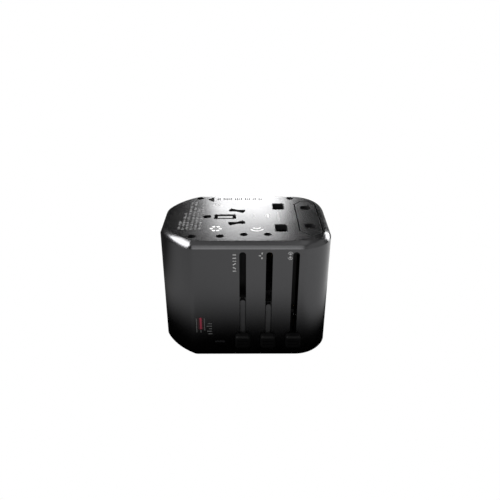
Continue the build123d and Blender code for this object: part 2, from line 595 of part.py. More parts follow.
def busbar(side, name):
    """Flat bar over one pole's contact, with a rail beside the path of each set of plug pins."""
    flat = (BAR_LOW, BAR_HIGH)
    upright = (BAR_LOW, RAIL_TOP)
    with BuildPart() as bar:
        sided_block(side, (US_RAIL_X[0], EU_RAIL_X[1]), BAR_Y, flat)
        sided_block(side, US_RAIL_X, (US_RAIL_Y, BAR_Y[1]), flat)
        sided_block(side, US_RAIL_X, (US_RAIL_Y, US_RAIL_Y + RAIL_SHEET), upright)
        sided_block(side, UK_RAIL_X, (BAR_Y[0], UK_RAIL_Y + RAIL_SHEET), flat)
        sided_block(side, UK_RAIL_X, (UK_RAIL_Y, UK_RAIL_Y + RAIL_SHEET), upright)
        sided_block(side, EU_RAIL_X, (EU_RAIL_Y[0], BAR_Y[1]), flat)
        sided_block(side, EU_RAIL_X, EU_RAIL_Y, upright)
    finish(bar, name)


busbar(1, "live_busbar")
busbar(-1, "neutral_busbar")

# ---------------------------------------------------------------- shutter and its spring
with BuildPart() as socket_shutter:
    block(SOCKET_X - SHUTTER_HALF_X, SHUTTER_RIGHT, -SHUTTER_HALF_Y, SHUTTER_HALF_Y,
          SHUTTER_LOW, SHUTTER_HIGH)
    # a pin pressed against the sloped lower edge drives the shutter aside
    low_edges = socket_shutter.edges().filter_by(Axis.Y).group_by(Axis.Z)[0]
    chamfer(low_edges.sort_by(Axis.X)[0], length=SHUTTER_RAMP)
finish(socket_shutter, "socket_shutter")

with BuildPart() as shutter_spring:
    spring_length = SPRING_STOP_X - SHUTTER_RIGHT - 2 * SPRING_WIRE_R
    with BuildLine():
        spring_path = Helix(
            pitch=spring_length / SPRING_COILS,
            height=spring_length,
            radius=SPRING_R,
            center=(SHUTTER_RIGHT + SPRING_WIRE_R, 0, SPRING_Z),
            direction=(1, 0, 0),
        )
    with BuildSketch(Plane(origin=spring_path @ 0, z_dir=spring_path % 0)):
        Circle(SPRING_WIRE_R)
    sweep(is_frenet=True)
finish(shutter_spring, "shutter_spring")


# ---------------------------------------------------------------- sliding carriages
def peg_hole(slot_x):
    """Hole in a slider web for the peg of its knob."""
    with BuildSketch(Plane.XZ.offset(WEB_BACK - CUT_PAST / 2)) as hole:
        with Locations((slot_x, TENON_Z)):
            Circle(TENON_R + FIT_GAP)
    extrude(hole.sketch, amount=TENON_DEPTH + TENON_HOLE_DEPTH, mode=Mode.SUBTRACT)


def slider_web(slot_x, z_low, z_high):
    """Plate behind a housing slot that carries the knob."""
    block(slot_x - WEB_HALF_WIDTH, slot_x + WEB_HALF_WIDTH, -WEB_FACE, -WEB_BACK, z_low, z_high)
    peg_hole(slot_x)


def slot_rib(slot_x, z_high):
    """Rib that fills the lower part of a slot, so that the slot opens only above the slider."""
    round_centre = z_high - RIB_END_GAP - STEM_WIDTH / 2
    with BuildSketch(Plane.XZ.offset(WEB_FACE)) as rib_plan:
        with Locations((slot_x, (round_centre + RIB_LOW) / 2)):
            Rectangle(STEM_WIDTH, round_centre - RIB_LOW)
        with Locations((slot_x, round_centre)):
            Circle(STEM_WIDTH / 2)
    extrude(rib_plan.sketch, amount=HALF_WIDTH - RIB_INSET - WEB_FACE)


with BuildPart() as us_carriage:
    slider_web(US_SLOT_X, KNOB_LOW, US_RIB_TOP)
    slot_rib(US_SLOT_X, US_RIB_TOP)
    # link from the web round the slot screen to the front barrel
    block(US_SLOT_X, US_LINK_X[1], -WEB_FACE, -WEB_BACK, US_FRAME_LOW, US_RIB_TOP)
    block(*US_LINK_X, -WEB_FACE, -US_LINK_BACK, US_FRAME_LOW, US_RIB_TOP)
    block(US_X, US_LINK_X[1], -US_LINK_BACK - US_CROSS_DEPTH, -US_LINK_BACK, US_FRAME_LOW, US_RIB_TOP)
    # C-shaped yoke that passes round the earth pin
    for side in (-1, 1):
        sided_block(side, (US_YOKE_LEFT, US_X), US_YOKE_Y, (US_FRAME_LOW, US_FRAME_HIGH))
    block(US_YOKE_LEFT, US_YOKE_LEFT + US_YOKE_BAR, -US_YOKE_Y[1], US_YOKE_Y[1],
          US_FRAME_LOW, US_FRAME_HIGH)
    # barrels with a pocket for each turning hub
    barrel_places = [(US_X, US_Y), (US_X, -US_Y)]
    posts(barrel_places, US_BARREL_R, US_FRAME_LOW, US_FRAME_HIGH)
    posts(barrel_places, US_HUB_R + FIT_GAP, US_HUB_LOW - FIT_GAP, US_FRAME_HIGH + CUT_PAST, Mode.SUBTRACT)
finish(us_carriage, "us_carriage")

with BuildPart() as uk_carriage:
    slider_web(UK_SLOT_X, KNOB_LOW, UK_RIB_TOP)
    slot_rib(UK_SLOT_X, UK_RIB_TOP)
    block(*UK_LINK_X, -WEB_FACE, -UK_LINK_BACK, UK_FRAME_LOW, UK_RIB_TOP)
    # beams under the line and neutral pins, and an arm to the earth pin
    block(UK_LINK_X[0], UK_X + UK_BEAM_HALF_X, -UK_BEAM_Y, -UK_CROSS_BACK, UK_FRAME_LOW, UK_FRAME_HIGH)
    block(UK_X - UK_BEAM_HALF_X, UK_X + UK_BEAM_HALF_X, -UK_BEAM_Y, UK_BEAM_Y, UK_FRAME_LOW, UK_FRAME_HIGH)
    block(UK_EARTH_X, UK_X, -UK_ARM_HALF_Y, UK_ARM_HALF_Y, UK_FRAME_LOW, UK_FRAME_HIGH)
    block(UK_EARTH_X - UK_EARTH_PAD_X, UK_EARTH_X + UK_EARTH_PAD_X, -UK_EARTH_PAD_Y, UK_EARTH_PAD_Y,
          UK_FRAME_LOW, UK_FRAME_HIGH)
    # sockets that hold the pin tails
    for pin_y in (UK_Y, -UK_Y):
        centred_block((UK_X, pin_y), UK_CORE_X, UK_CORE_Y, UK_TAIL_LOW, UK_FRAME_HIGH + CUT_PAST,
                      Mode.SUBTRACT)
    centred_block((UK_EARTH_X, 0), UK_EARTH_LONG - 2 * TAIL_STEP, UK_EARTH_SHORT - 2 * TAIL_STEP,
                  UK_TAIL_LOW, UK_FRAME_HIGH + CUT_PAST, Mode.SUBTRACT)
finish(uk_carriage, "uk_carriage")

with BuildPart() as eu_carriage:
    eu_pin_places = [(EU_X, EU_Y), (EU_X, -EU_Y)]
    centred_block((EU_X, 0), 2 * EU_COLUMN_X, 2 * EU_COLUMN_Y, EU_COLUMN_LOW, EU_COLUMN_HIGH)
    centred_block((EU_X, 0), 2 * (EU_COLUMN_X - EU_COLUMN_WALL), 2 * (EU_COLUMN_Y - EU_COLUMN_WALL),
                  EU_COLUMN_LOW - CUT_PAST, EU_COLUMN_HIGH - EU_COLUMN_ROOF, Mode.SUBTRACT)
    block(*EU_LINK_X, -EU_LINK_FRONT, -EU_COLUMN_Y, EU_COLUMN_LOW, STEM_HIGH)
    slider_web(EU_SLOT_X, EU_COLUMN_LOW, STEM_HIGH)
    posts(eu_pin_places, EU_CORE_R, EU_COLUMN_HIGH - EU_TAIL, EU_COLUMN_HIGH + CUT_PAST, Mode.SUBTRACT)
finish(eu_carriage, "eu_carriage")


def slider_knob(slot_x, stem_high, name):
    """Thumb knob outside the housing, with a stem through the slot and a peg in the carriage."""
    with BuildPart() as knob:
        inner = HALF_WIDTH + KNOB_GAP
        outer = inner + KNOB_PROUD
        block(slot_x - KNOB_WIDTH / 2, slot_x + KNOB_WIDTH / 2, -outer, -inner, KNOB_LOW, KNOB_HIGH)
        fillet(knob.edges().filter_by(Axis.Y), radius=KNOB_ROUND)
        fillet(knob.faces().sort_by(Axis.Y)[0].edges(), radius=KNOB_EDGE_R)
        # two grip grooves
        for groove_side in (-1, 1):
            groove_z = (KNOB_LOW + KNOB_HIGH + groove_side * GROOVE_SPACING) / 2
            block(slot_x - GROOVE_HALF_LENGTH, slot_x + GROOVE_HALF_LENGTH, -outer - CUT_PAST,
                  -outer + GROOVE_DEPTH, groove_z - GROOVE_WIDTH / 2, groove_z + GROOVE_WIDTH / 2,
                  Mode.SUBTRACT)
        block(slot_x - STEM_WIDTH / 2, slot_x + STEM_WIDTH / 2, -inner - STEM_ROOT, -WEB_FACE,
              STEM_LOW, stem_high)
        with BuildSketch(Plane.XZ.offset(WEB_FACE - TENON_DEPTH)):
            with Locations((slot_x, TENON_Z)):
                Circle(TENON_R)
        extrude(amount=TENON_DEPTH + CUT_PAST / 2)
    finish(knob, name)


slider_knob(US_SLOT_X, STEM_UNDER_RIB_HIGH, "us_slider_knob")
slider_knob(UK_SLOT_X, STEM_UNDER_RIB_HIGH, "uk_slider_knob")
slider_knob(EU_SLOT_X, STEM_HIGH, "eu_slider_knob")


# ---------------------------------------------------------------- plug pins
def us_blade(side, name):
    """Flat blade with chamfered tip, standing in its turning hub."""
    with BuildPart() as blade:
        centred_block((US_X, side * US_Y), US_BLADE_WIDTH, US_BLADE_THICK, US_BLADE_SEAT, US_TIP_Z)
        fillet(blade.edges().filter_by(Axis.Y).group_by(Axis.Z)[-1], radius=US_BLADE_CORNER_R)
        chamfer(blade.edges().filter_by(Axis.X).group_by(Axis.Z)[-1], length=US_BLADE_TIP_CHAMFER)
    finish(blade, name)


def us_hub(side, name):
    """Round hub that turns in the carriage barrel and grips the blade."""
    with BuildPart() as hub:
        posts([(US_X, side * US_Y)], US_HUB_R, US_HUB_LOW, US_FRAME_HIGH)
        centred_block((US_X, side * US_Y), US_BLADE_WIDTH, US_BLADE_THICK, US_BLADE_SEAT, US_TIP_Z,
                      Mode.SUBTRACT)
    finish(hub, name)


us_blade(1, "us_blade_back")
us_blade(-1, "us_blade_front")
us_hub(1, "us_blade_hub_back")
us_hub(-1, "us_blade_hub_front")


def uk_pin(side, name):
    """Rectangular brass pin, reduced where the insulating sleeve fits round it."""
    centre = (UK_X, side * UK_Y)
    with BuildPart() as pin:
        centred_block(centre, UK_CORE_X, UK_CORE_Y, UK_TAIL_LOW, UK_SLEEVE_HIGH)
        centred_block(centre, UK_PIN_X, UK_PIN_Y, UK_SLEEVE_HIGH, UK_TIP_Z)
        chamfer(pin.faces().sort_by(Axis.Z)[-1].edges(), length=UK_TIP_CHAMFER)
    finish(pin, name)


uk_pin(1, "uk_live_pin")
uk_pin(-1, "uk_neutral_pin")

with BuildPart() as uk_earth_pin:
    centred_block((UK_EARTH_X, 0), UK_EARTH_LONG, UK_EARTH_SHORT, UK_FRAME_HIGH, UK_EARTH_TIP_Z)
    chamfer(uk_earth_pin.faces().sort_by(Axis.Z)[-1].edges(), length=UK_EARTH_TIP_CHAMFER)
    centred_block((UK_EARTH_X, 0), UK_EARTH_LONG - 2 * TAIL_STEP, UK_EARTH_SHORT - 2 * TAIL_STEP,
                  UK_TAIL_LOW, UK_FRAME_HIGH)
finish(uk_earth_pin, "uk_earth_pin")

with BuildPart() as uk_pin_sleeves:
    with BuildSketch(Plane.XY.offset(UK_SLEEVE_LOW)):
        with Locations((UK_X, UK_Y), (UK_X, -UK_Y)):
            Rectangle(UK_PIN_X, UK_PIN_Y)
            Rectangle(UK_CORE_X, UK_CORE_Y, mode=Mode.SUBTRACT)
    extrude(amount=UK_SLEEVE_HIGH - UK_SLEEVE_LOW)
finish(uk_pin_sleeves, "uk_pin_sleeves")


def eu_pin(side, name):
    """Round pin with a domed tip, reduced where the insulating sleeve fits round it."""
    place = [(EU_X, side * EU_Y)]
    with BuildPart() as pin:
        posts(place, EU_CORE_R, EU_COLUMN_HIGH - EU_TAIL, EU_SLEEVE_HIGH)
        posts(place, EU_PIN_R, EU_SLEEVE_HIGH, EU_TIP_Z)
        fillet(pin.faces().sort_by(Axis.Z)[-1].edges(), radius=EU_TIP_R)
    finish(pin, name)


eu_pin(1, "eu_pin_back")
eu_pin(-1, "eu_pin_front")

with BuildPart() as eu_pin_sleeves:
    posts(eu_pin_places, EU_PIN_R, EU_COLUMN_HIGH, EU_SLEEVE_HIGH)
    posts(eu_pin_places, EU_CORE_R, EU_COLUMN_HIGH, EU_SLEEVE_HIGH, Mode.SUBTRACT)
finish(eu_pin_sleeves, "eu_pin_sleeves")

with BuildPart() as eu_plug_block:
    with BuildSketch(Plane.XY.offset(BLOCK_LOW)):
        add(block_plan.sketch)
    extrude(amount=HEIGHT - BLOCK_LOW)
    chamfer(eu_plug_block.faces().sort_by(Axis.Z)[-1].edges(), length=BLOCK_EDGE_BREAK)
    with BuildSketch(Plane.XY.offset(BLOCK_LOW - CUT_PAST)):
        offset(block_plan.sketch, amount=-BLOCK_WALL, kind=Kind.INTERSECTION)
    extrude(amount=HEIGHT - BLOCK_FACE - BLOCK_LOW + CUT_PAST, mode=Mode.SUBTRACT)
    posts(eu_pin_places, BLOCK_HOLE_R, HEIGHT - BLOCK_FACE - CUT_PAST, HEIGHT + CUT_PAST, Mode.SUBTRACT)
finish(eu_plug_block, "eu_plug_block")


# ---------------------------------------------------------------- wipers between pins and busbar rails
def wiper_pair(strips, name):
    """One wiper for each pole, written as one node."""
    with BuildPart() as pair:
        for side in (-1, 1):
            for x_ends, y_ends, z_ends in strips:
                sided_block(side, x_ends, y_ends, z_ends)
    finish(pair, name)


wiper_pair(US_WIPER, "us_wipers")
wiper_pair(UK_WIPER, "uk_wipers")
wiper_pair(EU_WIPER, "eu_wipers")


# ---------------------------------------------------------------- screws
def screw_group(places, head_low, shank_low, drive_low, name):
    """Socket-head screws at the given places."""
    with BuildPart() as screws:
        posts(places, SCREW_HEAD_R, head_low, head_low + SCREW_HEAD_HIGH)
        posts(places, SCREW_SHANK_R, shank_low, shank_low + SCREW_LENGTH)
        with BuildSketch(Plane.XY.offset(drive_low)):
            with Locations(*places):
                RegularPolygon(HEX_R, 6)
        extrude(amount=HEX_DEPTH + CUT_PAST, mode=Mode.SUBTRACT)
    finish(screws, name)


face_head_low = SCREW_HEAD_Z - SCREW_HEAD_HIGH
base_head_low = BASE_WELL_DEPTH - SCREW_HEAD_HIGH
screw_group(SCREW_XY, face_head_low, face_head_low - SCREW_LENGTH, SCREW_HEAD_Z - HEX_DEPTH, "face_screws")
screw_group(BASE_SCREW_XY, base_head_low, BASE_WELL_DEPTH, base_head_low - CUT_PAST, "base_screws")

# ---------------------------------------------------------------- charging section
with BuildPart() as charger_board:
    block(BOARD_X, BOARD_X + BOARD_THICK, -BOARD_HALF_Y, BOARD_HALF_Y, *BOARD_Z)
finish(charger_board, "charger_board")


def port_shell(wide, high, port_z, rounded):
    """Sheet-metal shell of one port, open towards the left face."""
    for inset, x_low, x_high, mode in (
        (0.0, PORT_MOUTH_X, BOARD_X, Mode.ADD),
        (PORT_SHEET, PORT_MOUTH_X - CUT_PAST, BOARD_X - PORT_SHEET, Mode.SUBTRACT),
    ):
        with BuildSketch(Plane.YZ.offset(x_low)) as outline:
            with Locations((0, port_z)):
                if rounded:
                    SlotOverall(wide - 2 * inset, high - 2 * inset)
                else:
                    Rectangle(wide - 2 * inset, high - 2 * inset)
        extrude(outline.sketch, amount=x_high - x_low, mode=mode)


with BuildPart() as usb_a_shells:
    for port_z in PORT_A_Z:
        port_shell(PORT_A_WIDE, PORT_A_HIGH, port_z, rounded=False)
finish(usb_a_shells, "usb_a_shells")

with BuildPart() as usb_a_tongues:
    for port_z in PORT_A_Z:
        block(PORT_MOUTH_X + TONGUE_INSET, BOARD_X - PORT_SHEET, -TONGUE_A_HALF_Y, TONGUE_A_HALF_Y,
              port_z + TONGUE_A_LOW, port_z + TONGUE_A_HIGH)
finish(usb_a_tongues, "usb_a_tongues")

with BuildPart() as usb_c_shell:
    port_shell(PORT_C_WIDE, PORT_C_HIGH, PORT_C_Z, rounded=True)
finish(usb_c_shell, "usb_c_shell")

with BuildPart() as usb_c_tongue:
    block(PORT_MOUTH_X + TONGUE_INSET, BOARD_X - PORT_SHEET, -TONGUE_C_HALF_Y, TONGUE_C_HALF_Y,
          PORT_C_Z - TONGUE_C_HALF_Z, PORT_C_Z + TONGUE_C_HALF_Z)
finish(usb_c_tongue, "usb_c_tongue")

with BuildPart() as transformer:
    block(BOARD_X - CORE_DEEP, BOARD_X, *CORE_Y, CORE_Z[0], CORE_Z[1])
    block(BOARD_X - CORE_DEEP, BOARD_X, *CORE_Y, CORE_Z[2], CORE_Z[3])
    block(BOARD_X - WINDING_DEEP, BOARD_X - WINDING_INSET,
          CORE_Y[0] + WINDING_INSET, CORE_Y[1] - WINDING_INSET, CORE_Z[1], CORE_Z[2])
finish(transformer, "transformer")

with BuildPart() as filter_capacitors:
    with BuildSketch(Plane.YZ.offset(BOARD_X - CAPACITOR_LENGTH)):
        with Locations(*CAPACITOR_YZ):
            Circle(CAPACITOR_R)
    extrude(amount=CAPACITOR_LENGTH)
    outer_rims = filter_capacitors.edges().filter_by(GeomType.CIRCLE).group_by(Axis.X)[0]
    fillet(outer_rims, radius=CAPACITOR_EDGE_R)
finish(filter_capacitors, "filter_capacitors")

with BuildPart() as controller_chips:
    for chip_deep, chip_y, chip_z in CHIPS:
        block(BOARD_X - chip_deep, BOARD_X, *chip_y, *chip_z)
finish(controller_chips, "controller_chips")

with BuildPart() as indicator_lens:
    block(LENS_X - LENS_HALF + FIT_GAP, LENS_X + LENS_HALF - FIT_GAP,
          -HALF_WIDTH, -INNER_FRONT + LENS_INSIDE,
          LENS_Z - LENS_HIGH / 2 + FIT_GAP, LENS_Z + LENS_HIGH / 2 - FIT_GAP)
finish(indicator_lens, "indicator_lens")

# ---------------------------------------------------------------- fuse
with BuildPart() as fuse_holder:
    posts([FUSE_XY], FUSE_FLANGE_R, BASE_THICK, BASE_THICK + FUSE_FLANGE_THICK)
    posts([FUSE_XY], FUSE_TUBE_R, BASE_THICK, FUSE_TUBE_HIGH)
    posts([FUSE_XY], FUSE_BORE_R, BASE_THICK - CUT_PAST, FUSE_TUBE_HIGH - FUSE_TUBE_ROOF, Mode.SUBTRACT)
finish(fuse_holder, "fuse_holder")

with BuildPart() as fuse_body:
    posts([FUSE_XY], FUSE_R - FUSE_WAIST, FUSE_LOW + FUSE_END_LENGTH,
          FUSE_LOW + FUSE_LENGTH - FUSE_END_LENGTH)
finish(fuse_body, "fuse_body")

with BuildPart() as fuse_end_caps:
    posts([FUSE_XY], FUSE_R, FUSE_LOW, FUSE_LOW + FUSE_END_LENGTH)
    posts([FUSE_XY], FUSE_R, FUSE_LOW + FUSE_LENGTH - FUSE_END_LENGTH, FUSE_LOW + FUSE_LENGTH)
finish(fuse_end_caps, "fuse_end_caps")

with BuildPart() as fuse_cap:
    posts([FUSE_XY], FUSE_CAP_R, FUSE_CAP_INSET, BASE_THICK - FIT_GAP)
    posts([FUSE_XY], FUSE_BORE_R - FIT_GAP, BASE_THICK - PLUG_ROOT, FUSE_LOW - PLUG_TIP_GAP)
    # coin slot
    centred_block(FUSE_XY, 2 * COIN_SLOT_HALF[0], 2 * COIN_SLOT_HALF[1], -CUT_PAST,
                  FUSE_CAP_INSET + COIN_SLOT_DEPTH, Mode.SUBTRACT)
finish(fuse_cap, "fuse_cap")
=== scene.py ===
"""Looks for the universal travel adapter: finishes for every CAD piece, printed marks, studio and camera."""

import json
import math

import bmesh
import bpy
from mathutils import Matrix, Vector


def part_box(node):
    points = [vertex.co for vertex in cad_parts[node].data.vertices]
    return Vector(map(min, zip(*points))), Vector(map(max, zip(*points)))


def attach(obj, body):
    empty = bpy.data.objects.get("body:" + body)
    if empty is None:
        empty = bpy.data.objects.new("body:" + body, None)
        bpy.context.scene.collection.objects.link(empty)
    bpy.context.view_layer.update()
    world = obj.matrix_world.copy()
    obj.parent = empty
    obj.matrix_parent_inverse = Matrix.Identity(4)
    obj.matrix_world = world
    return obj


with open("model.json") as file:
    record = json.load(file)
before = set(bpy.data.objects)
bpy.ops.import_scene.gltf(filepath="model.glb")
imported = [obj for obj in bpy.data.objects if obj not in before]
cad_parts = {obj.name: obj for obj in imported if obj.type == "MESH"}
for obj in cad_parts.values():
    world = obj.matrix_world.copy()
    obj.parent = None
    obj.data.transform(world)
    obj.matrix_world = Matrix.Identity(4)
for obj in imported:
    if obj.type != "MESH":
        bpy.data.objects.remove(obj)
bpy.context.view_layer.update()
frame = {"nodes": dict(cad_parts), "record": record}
NODES = frame["nodes"]
MM = 0.001

# ---------------------------------------------------------------- places taken from the frame
housing_low, housing_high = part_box("main_housing")
FACE_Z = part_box("plug_face_plate")[1].z
FRONT_Y = housing_low.y
LEFT_X = housing_low.x


# ---------------------------------------------------------------- node helpers
def math_node(tree, operation, a, b=None):
    """One Math node; a and b are numbers or sockets."""
    node = tree.nodes.new("ShaderNodeMath")
    node.operation = operation
    for i, value in enumerate((a, b)):
        if value is None:
            continue
        if isinstance(value, (int, float)):
            node.inputs[i].default_value = value
        else:
            tree.links.new(value, node.inputs[i])
    return node.outputs[0]


def remap(tree, source, start, stop, low=0.0, high=1.0, kind="LINEAR"):
    """Map start..stop to low..high and clamp it."""
    node = tree.nodes.new("ShaderNodeMapRange")
    node.interpolation_type = kind
    node.inputs["From Min"].default_value = start
    node.inputs["From Max"].default_value = stop
    node.inputs["To Min"].default_value = low
    node.inputs["To Max"].default_value = high
    tree.links.new(source, node.inputs["Value"])
    return node.outputs["Result"]


def smooth(tree, source, start, stop, low=0.0, high=1.0):
    return remap(tree, source, start, stop, low, high, "SMOOTHSTEP")


def coordinate(tree, output="Object"):
    """X, Y and Z sockets of a texture coordinate."""
    coords = tree.nodes.new("ShaderNodeTexCoord")
    split = tree.nodes.new("ShaderNodeSeparateXYZ")
    tree.links.new(coords.outputs[output], split.inputs["Vector"])
    return split.outputs


def noise(tree, scale, detail=4.0, roughness=0.55, stretch=(1.0, 1.0, 1.0)):
    """Noise in object space, in cycles per metre along each axis."""
    coords = tree.nodes.new("ShaderNodeTexCoord")
    mapping = tree.nodes.new("ShaderNodeMapping")
    mapping.inputs["Scale"].default_value = [scale * s for s in stretch]
    texture = tree.nodes.new("ShaderNodeTexNoise")
    texture.inputs["Scale"].default_value = 1.0
    texture.inputs["Detail"].default_value = detail
    texture.inputs["Roughness"].default_value = roughness
    tree.links.new(coords.outputs["Object"], mapping.inputs["Vector"])
    tree.links.new(mapping.outputs["Vector"], texture.inputs["Vector"])
    return texture.outputs["Fac"]


NOISE_LOW, NOISE_HIGH = 0.3, 0.7        # the part of a noise's range where most of it lies


def uneven(tree, source, low, high):
    """A number that wanders from low to high with a noise."""
    return remap(tree, source, NOISE_LOW, NOISE_HIGH, low, high)


def tint(tree, source, low, high):
    """A colour that wanders from low to high with a noise."""
    node = tree.nodes.new("ShaderNodeValToRGB")
    for element, place, colour in zip(node.color_ramp.elements, (NOISE_LOW, NOISE_HIGH), (low, high)):
        element.position = place
        element.color = (*colour, 1.0)
    tree.links.new(source, node.inputs["Fac"])
    return node.outputs["Color"]


def bump(tree, shader, source, distance, chain=None):
    node = tree.nodes.new("ShaderNodeBump")
    node.inputs["Distance"].default_value = distance
    node.inputs["Strength"].default_value = 1.0
    tree.links.new(source, node.inputs["Height"])
    if chain is not None:
        tree.links.new(chain, node.inputs["Normal"])
    tree.links.new(node.outputs["Normal"], shader.inputs["Normal"])
    return node.outputs["Normal"]


# ---------------------------------------------------------------- kinds of finish
MOTTLING_SCALE = 260.0          # colour mottling of a moulding or coat
GLOSS_SCALE = 90.0              # patches of uneven gloss
METAL_TINT_SCALE, METAL_DARKEST = 400.0, 0.88
SCRATCH_SCALE = 3000.0
SCRATCH_SMOOTHEST, SCRATCH_ROUGHEST = 0.75, 1.35    # parts of the metal's roughness
FLAKE_SCALE = 9000.0            # metallic flakes in the paint
FLAKE_DARKEST, FLAKE_BRIGHTEST = 0.82, 1.22
FLAKE_DEPTH = 0.0004 * MM
PEEL_SCALE, PEEL_DEPTH = 900.0, 0.0006 * MM
PAINT_GLOSS_SCALE = 70.0
PAINT_ROUGH = (0.19, 0.25)
BARE_MOULDING_AND_SHADE_COLOUR = (0.006, 0.006, 0.0065)    # black moulding where a plate is not painted; in the openings and round the plug block it is also painted shade
BARE_EXTRA_ROUGH = 0.38
BARE_SPECULAR = 0.2
SEAM_MARGIN = 0.1 * MM
FLAT_ONLY_SHADE_OUTLINE, FLAT_AND_BEVEL = 0.95, 0.3   # least upward part of a painted surface's normal; the flat-only one leaves the block's edges as an outline of painted shade


def new_material(name):
    material = bpy.data.materials.new(name)
    material.use_nodes = True
    tree = material.node_tree
    return material, tree, tree.nodes["Principled BSDF"]


def coating(name, colour, spread, metallic, rough, rough_spread, grain, grain_depth, specular=0.5):
    """Painted, plated or moulded surface: colour mottling, uneven gloss and a fine grain."""
    material, tree, shader = new_material(name)
    shader.inputs["Metallic"].default_value = metallic
    shader.inputs["Specular IOR Level"].default_value = specular
    low = [c * (1 - spread) for c in colour]
    high = [min(1.0, c * (1 + spread)) for c in colour]
    mottling = noise(tree, MOTTLING_SCALE, detail=6.0)
    tree.links.new(tint(tree, mottling, low, high), shader.inputs["Base Color"])
    gloss = noise(tree, GLOSS_SCALE, detail=5.0)
    gloss = uneven(tree, gloss, rough - rough_spread, rough + rough_spread)
    tree.links.new(gloss, shader.inputs["Roughness"])
    bump(tree, shader, noise(tree, grain, detail=3.0, roughness=0.7), grain_depth)
    return material


def drawn_metal(name, colour, rough, stretch, scratch_depth=0.0008 * MM):
    """Metal with fine scratches along one axis."""
    material, tree, shader = new_material(name)
    shader.inputs["Metallic"].default_value = 1.0
    low = [c * METAL_DARKEST for c in colour]
    tree.links.new(tint(tree, noise(tree, METAL_TINT_SCALE), low, colour), shader.inputs["Base Color"])
    scratches = noise(tree, SCRATCH_SCALE, detail=6.0, roughness=0.75, stretch=stretch)
    tree.links.new(uneven(tree, scratches, rough * SCRATCH_SMOOTHEST, rough * SCRATCH_ROUGHEST),
                   shader.inputs["Roughness"])
    bump(tree, shader, scratches, scratch_depth)
    return material


def end_paint_mask(tree, end, least_normal):
    """1 on the painted outer surface of an end plate, 0 inside it and on the walls of its openings."""
    seam = housing_high.z if end > 0 else -housing_low.z
    height = math_node(tree, "MULTIPLY", coordinate(tree)["Z"], end)
    past_seam = math_node(tree, "GREATER_THAN", height, seam - SEAM_MARGIN)
    outward = math_node(tree, "MULTIPLY", coordinate(tree, "Normal")["Z"], end)
    faces_out = math_node(tree, "GREATER_THAN", outward, least_normal)
    return math_node(tree, "MULTIPLY", past_seam, faces_out)


def metallic_paint(name, colour, painted_end=0, least_normal=FLAT_AND_BEVEL):
    """Satin metallic paint: fine bright flakes under a smooth coat, with a trace of orange peel.

    painted_end 1 or -1 keeps the paint to the outside of the top or bottom; the rest is bare black moulding,
    which also stands as painted shade in the openings and round the plug block.
    """
    material, tree, shader = new_material(name)
    flakes = noise(tree, FLAKE_SCALE, detail=2.0, roughness=0.6)
    low = [c * FLAKE_DARKEST for c in colour]
    high = [c * FLAKE_BRIGHTEST for c in colour]
    paint_colour = tint(tree, flakes, low, high)
    paint_rough = uneven(tree, noise(tree, PAINT_GLOSS_SCALE, detail=6.0), *PAINT_ROUGH)
    if painted_end:
        shader.inputs["Specular IOR Level"].default_value = BARE_SPECULAR
        mask = end_paint_mask(tree, painted_end, least_normal)
        mix = tree.nodes.new("ShaderNodeMix")
        mix.data_type = "RGBA"
        bare_socket, paint_socket = (socket for socket in mix.inputs if socket.type == "RGBA")
        bare_socket.default_value = (*BARE_MOULDING_AND_SHADE_COLOUR, 1.0)
        tree.links.new(paint_colour, paint_socket)
        tree.links.new(mask, mix.inputs["Factor"])
        tree.links.new(mask, shader.inputs["Metallic"])
        paint_colour = next(socket for socket in mix.outputs if socket.type == "RGBA")
        bare_rough = remap(tree, mask, 0.0, 1.0, BARE_EXTRA_ROUGH, 0.0)
        paint_rough = math_node(tree, "ADD", paint_rough, bare_rough)
    else:
        shader.inputs["Metallic"].default_value = 1.0
    tree.links.new(paint_colour, shader.inputs["Base Color"])
    tree.links.new(paint_rough, shader.inputs["Roughness"])
    peel = bump(tree, shader, noise(tree, PEEL_SCALE, detail=2.0), PEEL_DEPTH)
    bump(tree, shader, flakes, FLAKE_DEPTH, chain=peel)
    return material


# ---------------------------------------------------------------- finishes of the CAD pieces
PAINT = (0.075, 0.075, 0.077)
